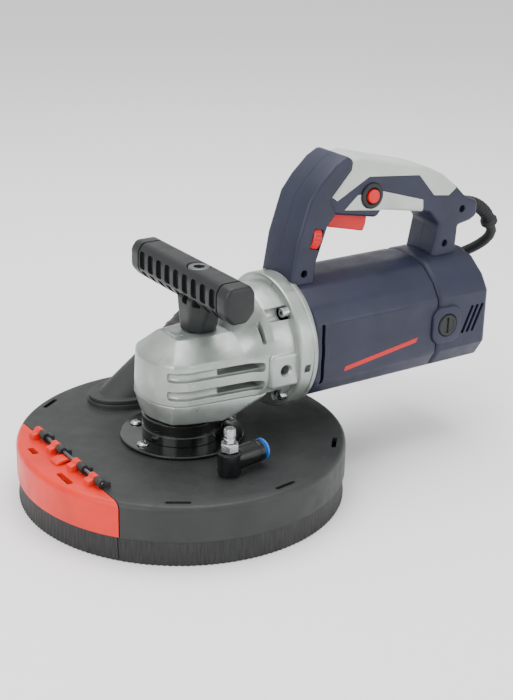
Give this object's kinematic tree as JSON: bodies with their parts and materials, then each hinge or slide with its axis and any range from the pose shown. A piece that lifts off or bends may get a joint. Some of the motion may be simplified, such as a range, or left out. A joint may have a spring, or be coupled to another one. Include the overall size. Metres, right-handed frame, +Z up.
{
  "type": "hand-held concrete grinder",
  "caption": "Hand-held surface grinder with a brushed dust shroud, hinged shroud edge, dust port, water fitting, gear head, cross handle, motor and D-handle.",
  "frame": {"origin": "centre of the flat end of the spindle nose, which stands 8 mm above the floor that the brush skirt rests on", "axes": "+X runs from the wheel to the motor and the rear handle, +Y is the right hand of the operator who looks along -X, +Z is up along the spindle"},
  "size_m": [0.4247, 0.3374, 0.2418],
  "materials": {
    "black_plastic": "moulded plastic",
    "black_rubber": "smooth rubber",
    "black_steel": "black gloss coating",
    "blue_plastic": "smooth moulded plastic",
    "brass": "folded brass",
    "bright_steel": "zinc plated or ground steel",
    "bristle": "nylon bristles",
    "carbon": "carbon",
    "cast_aluminium": "die-cast, silver lacquer",
    "copper": "copper",
    "dark_steel": "plain machined steel",
    "grey_plastic": "soft moulded cover",
    "navy_plastic": "glass-filled nylon, fine texture",
    "red_plastic": "smooth moulded plastic",
    "shroud_plastic": "moulded plastic, dull"
  },
  "bodies": {
    "frame": {"banjo_bolt": "bright_steel", "bearing_cover": "cast_aluminium", "brush_cap_far": "black_plastic", "brush_cap_near": "black_plastic", "brush_holder_far": "brass", "brush_holder_near": "brass", "brush_skirt": "bristle", "cable_boot": "black_rubber", "carbon_brush_far": "carbon", "carbon_brush_near": "carbon", "clamp_collar": "black_steel", "collar_screw": "bright_steel", "cord_coil": "black_rubber", "cord_tube": "black_rubber", "dust_port": "shroud_plastic", "flange_plate": "black_steel", "gear_housing": "cast_aluminium", "handle_shell_left": "navy_plastic", "handle_shell_right": "navy_plastic", "hinge_pin": "bright_steel", "lock_collar": "black_plastic", "lower_grip": "grey_plastic", "motor_bearing_front": "bright_steel", "motor_bearing_rear": "bright_steel", "motor_housing": "navy_plastic", "plate_screw_1": "bright_steel", "plate_screw_2": "bright_steel", "plate_screw_3": "bright_steel", "plate_screw_4": "bright_steel", "plug": "black_rubber", "rear_cover": "navy_plastic", "shroud": "shroud_plastic", "spindle_bearing_lower": "bright_steel", "spindle_bearing_upper": "bright_steel", "stator_coil_bottom": "copper", "stator_coil_top": "copper", "stator_core": "dark_steel", "switch_module": "black_plastic", "t_handle": "black_plastic", "t_handle_bolt": "dark_steel", "top_grip": "grey_plastic"},
    "spindle_group": {"spindle": "bright_steel", "ring_gear": "dark_steel", "inner_flange": "bright_steel", "cup_wheel": "dark_steel", "clamp_nut": "dark_steel"},
    "armature": {"armature_shaft": "bright_steel", "armature_core": "dark_steel", "commutator": "copper", "cooling_fan": "black_plastic", "pinion": "dark_steel"},
    "trigger": {"trigger": "red_plastic"},
    "lock_button": {"lock_button": "red_plastic"},
    "speed_dial": {"speed_dial": "red_plastic"},
    "shroud_edge": {"edge_flap": "red_plastic", "flap_brush": "bristle"},
    "elbow": {"elbow_body": "black_plastic"},
    "release_ring": {"release_ring": "blue_plastic"},
    "flow_needle": {"flow_needle": "bright_steel"},
    "spindle_lock_pin": {"spindle_lock_pin": "black_plastic"}
  },
  "joints": [
    {"name": "spindle_spin", "type": "hinge", "parent": "frame", "child": "spindle_group", "pos_m": [0, 0, 0], "axis": [0, 0, 1], "continuous": true},
    {"name": "armature_spin", "type": "hinge", "parent": "frame", "child": "armature", "pos_m": [0.15, 0, 0.096], "axis": [1, 0, 0], "continuous": true},
    {"name": "trigger_pull", "type": "hinge", "parent": "frame", "child": "trigger", "pos_m": [0.1185, 0, 0.193], "axis": [0, -1, 0], "range_deg": [0, 8], "stiffness_Nm_per_rad": 0.6, "springref_deg": -2.86},
    {"name": "lock_button_press", "type": "slide", "parent": "frame", "child": "lock_button", "axis": [0, 1, 0], "range_m": [0, 0.0035], "stiffness_N_per_m": 400, "springref_m": -0.001},
    {"name": "speed_dial_turn", "type": "hinge", "parent": "frame", "child": "speed_dial", "pos_m": [0.1035, -0.0098, 0.175], "axis": [0.9659, 0, -0.2588], "range_deg": [0, 300]},
    {"name": "edge_hinge", "type": "hinge", "parent": "frame", "child": "shroud_edge", "pos_m": [-0.095, 0, 0.0408], "axis": [0, 1, 0], "range_deg": [0, 110]},
    {"name": "elbow_swivel", "type": "hinge", "parent": "frame", "child": "elbow", "pos_m": [-0.008, -0.078, 0.0465], "axis": [0, 0, 1], "continuous": true},
    {"name": "release_ring_press", "type": "slide", "parent": "elbow", "child": "release_ring", "axis": [-0.9903, -0.1392, 0], "range_m": [0, 0.0015], "stiffness_N_per_m": 300, "springref_m": -0.0005},
    {"name": "flow_needle_turn", "type": "hinge", "parent": "frame", "child": "flow_needle", "pos_m": [-0.008, -0.078, 0.052], "axis": [0, 0, 1], "continuous": true},
    {"name": "spindle_lock_press", "type": "slide", "parent": "frame", "child": "spindle_lock_pin", "axis": [0, -1, 0], "range_m": [0, 0.0055], "stiffness_N_per_m": 400, "springref_m": -0.001}
  ],
  "couplings": [
    {"joint": "armature_spin", "follows": "spindle_spin", "ratio": 3.5556}
  ]
}
